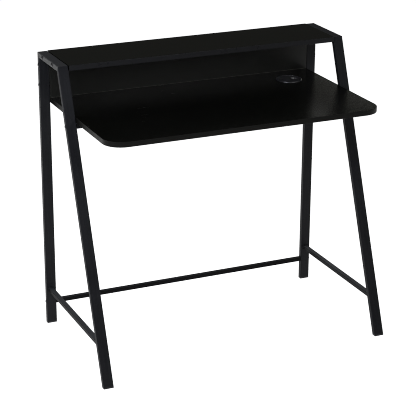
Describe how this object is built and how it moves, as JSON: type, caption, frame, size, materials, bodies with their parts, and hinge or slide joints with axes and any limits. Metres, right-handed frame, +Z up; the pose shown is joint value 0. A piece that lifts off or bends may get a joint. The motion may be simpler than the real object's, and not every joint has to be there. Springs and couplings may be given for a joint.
{
  "type": "computer desk",
  "caption": "Compact computer desk with sloping steel tube side frames, a rounded desktop, a raised rear shelf with back panel, and a cable grommet with a turning cap.",
  "frame": {"origin": "on the floor, at the middle of the desk's footprint", "axes": "+Z up, +X to the sitter's right, -Y towards the sitter, so the back panel is on the +Y side"},
  "size_m": [0.9044, 0.5, 0.8515],
  "materials": {
    "frame_powder_coat": "black powder coat, fine texture, satin",
    "board_black": "black faced chipboard, fine pressed grain, satin",
    "edge_band_black": "black plastic edge strip, satin, rounded arris",
    "bolt_black": "black finished steel, satin",
    "zinc_steel": "zinc plated steel, dull",
    "plug_plastic": "black moulded plastic, matte",
    "grommet_plastic": "black moulded plastic, satin",
    "dowel_beech": "bare beech"
  },
  "bodies": {
    "desk": {"back_panel": "board_black", "back_panel_bolts": "bolt_black", "back_panel_inserts": "zinc_steel", "crossbar_barrel_nuts": "bolt_black", "crossbar_bolts": "bolt_black", "desktop": "board_black", "desktop_edge_band": "edge_band_black", "desktop_rear_band": "edge_band_black", "desktop_support_rail": "frame_powder_coat", "grommet_ring": "grommet_plastic", "left_frame_welds": "frame_powder_coat", "left_front_foot_plug": "plug_plastic", "left_front_leg": "frame_powder_coat", "left_rear_foot_plug": "plug_plastic", "left_rear_leg": "frame_powder_coat", "left_side_stretcher": "frame_powder_coat", "left_top_rail": "frame_powder_coat", "panel_screws": "zinc_steel", "rear_crossbar": "frame_powder_coat", "right_frame_welds": "frame_powder_coat", "right_front_foot_plug": "plug_plastic", "right_front_leg": "frame_powder_coat", "right_rear_foot_plug": "plug_plastic", "right_rear_leg": "frame_powder_coat", "right_side_stretcher": "frame_powder_coat", "right_top_rail": "frame_powder_coat", "shelf_bolts": "bolt_black", "shelf_dowels": "dowel_beech", "shelf_front_band": "edge_band_black", "shelf_inserts": "zinc_steel", "shelf_rear_band": "edge_band_black", "support_rail_barrel_nuts": "bolt_black", "support_rail_bolts": "bolt_black", "support_rail_screws": "zinc_steel", "top_shelf": "board_black"},
    "grommet_cap": {"grommet_cap": "grommet_plastic"}
  },
  "joints": [
    {"name": "grommet_cap_turn", "type": "hinge", "parent": "desk", "child": "grommet_cap", "pos_m": [0.31, 0.14, 0.7145], "axis": [0, 0, 1], "continuous": true}
  ]
}
